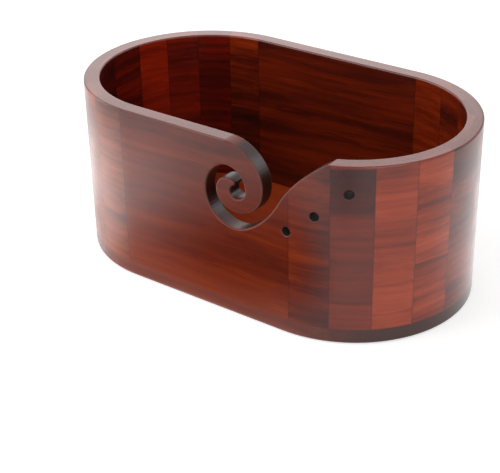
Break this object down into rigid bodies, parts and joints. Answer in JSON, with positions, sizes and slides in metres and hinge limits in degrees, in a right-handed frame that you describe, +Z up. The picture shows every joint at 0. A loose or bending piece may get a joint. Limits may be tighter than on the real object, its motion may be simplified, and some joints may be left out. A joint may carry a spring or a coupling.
{
  "type": "yarn dispenser box",
  "caption": "Open wooden yarn bowl with flat sides and rounded ends, a scroll-shaped yarn slot down from the rim and round yarn holes beside it.",
  "frame": {"origin": "centre of the footprint, on the face it rests on", "axes": "+X along the flat sides towards the end with the holes, +Z up, and the slot is on the -Y side"},
  "size_m": [0.3, 0.171, 0.129],
  "materials": {
    "front_plank": "satin lacquer over red-brown stain",
    "back_plank": "satin lacquer over red-brown stain",
    "base_board": "satin lacquer over red-brown stain",
    "right_stave_1": "satin lacquer over red-brown stain",
    "right_stave_2": "satin lacquer over red-brown stain",
    "right_stave_3": "satin lacquer over red-brown stain",
    "right_stave_4": "satin lacquer over red-brown stain",
    "right_stave_5": "satin lacquer over red-brown stain",
    "right_stave_6": "satin lacquer over red-brown stain",
    "right_stave_7": "satin lacquer over red-brown stain",
    "right_stave_8": "satin lacquer over red-brown stain",
    "right_stave_9": "satin lacquer over red-brown stain",
    "left_stave_1": "satin lacquer over red-brown stain",
    "left_stave_2": "satin lacquer over red-brown stain",
    "left_stave_3": "satin lacquer over red-brown stain",
    "left_stave_4": "satin lacquer over red-brown stain",
    "left_stave_5": "satin lacquer over red-brown stain",
    "left_stave_6": "satin lacquer over red-brown stain",
    "left_stave_7": "satin lacquer over red-brown stain",
    "left_stave_8": "satin lacquer over red-brown stain",
    "left_stave_9": "satin lacquer over red-brown stain"
  },
  "bodies": {
    "root": {"front_plank": "front_plank", "back_plank": "back_plank", "base_board": "base_board", "right_stave_1": "right_stave_1", "right_stave_2": "right_stave_2", "right_stave_3": "right_stave_3", "right_stave_4": "right_stave_4", "right_stave_5": "right_stave_5", "right_stave_6": "right_stave_6", "right_stave_7": "right_stave_7", "right_stave_8": "right_stave_8", "right_stave_9": "right_stave_9", "left_stave_1": "left_stave_1", "left_stave_2": "left_stave_2", "left_stave_3": "left_stave_3", "left_stave_4": "left_stave_4", "left_stave_5": "left_stave_5", "left_stave_6": "left_stave_6", "left_stave_7": "left_stave_7", "left_stave_8": "left_stave_8", "left_stave_9": "left_stave_9"}
  },
  "joints": []
}
